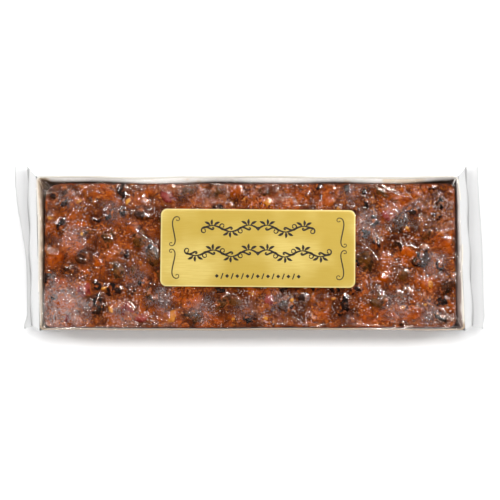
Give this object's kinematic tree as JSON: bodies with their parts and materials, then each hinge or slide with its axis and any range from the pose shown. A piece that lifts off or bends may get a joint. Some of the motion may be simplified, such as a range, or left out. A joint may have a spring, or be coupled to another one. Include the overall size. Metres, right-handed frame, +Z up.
{
  "type": "wrapped fruit cake loaf",
  "caption": "Rectangular slab of dark fruit cake in a shallow card tray, sealed in clear film crimped at both ends, with a gold label on top that carries only scroll and vine ornament.",
  "frame": {"origin": "middle of the tray's flat underside, where the wrapped loaf rests", "axes": "+X along the loaf, +Y across it towards its back, +Z up"},
  "size_m": [0.2325, 0.0829, 0.0381],
  "materials": {
    "cake": "moist dark fruit cake crumb, set with glossy raisins, cherries and candied peel",
    "tray": "cream white folded board, stained by fat near the corners",
    "film": "clear glossy packing film, crimped at the ends",
    "label": "gold foil paper, softly brushed, with thin dark brown scrolls and vines"
  },
  "bodies": {
    "root": {"cake": "cake", "card_tray": "tray", "film_wrap": "film", "label": "label"}
  },
  "joints": []
}
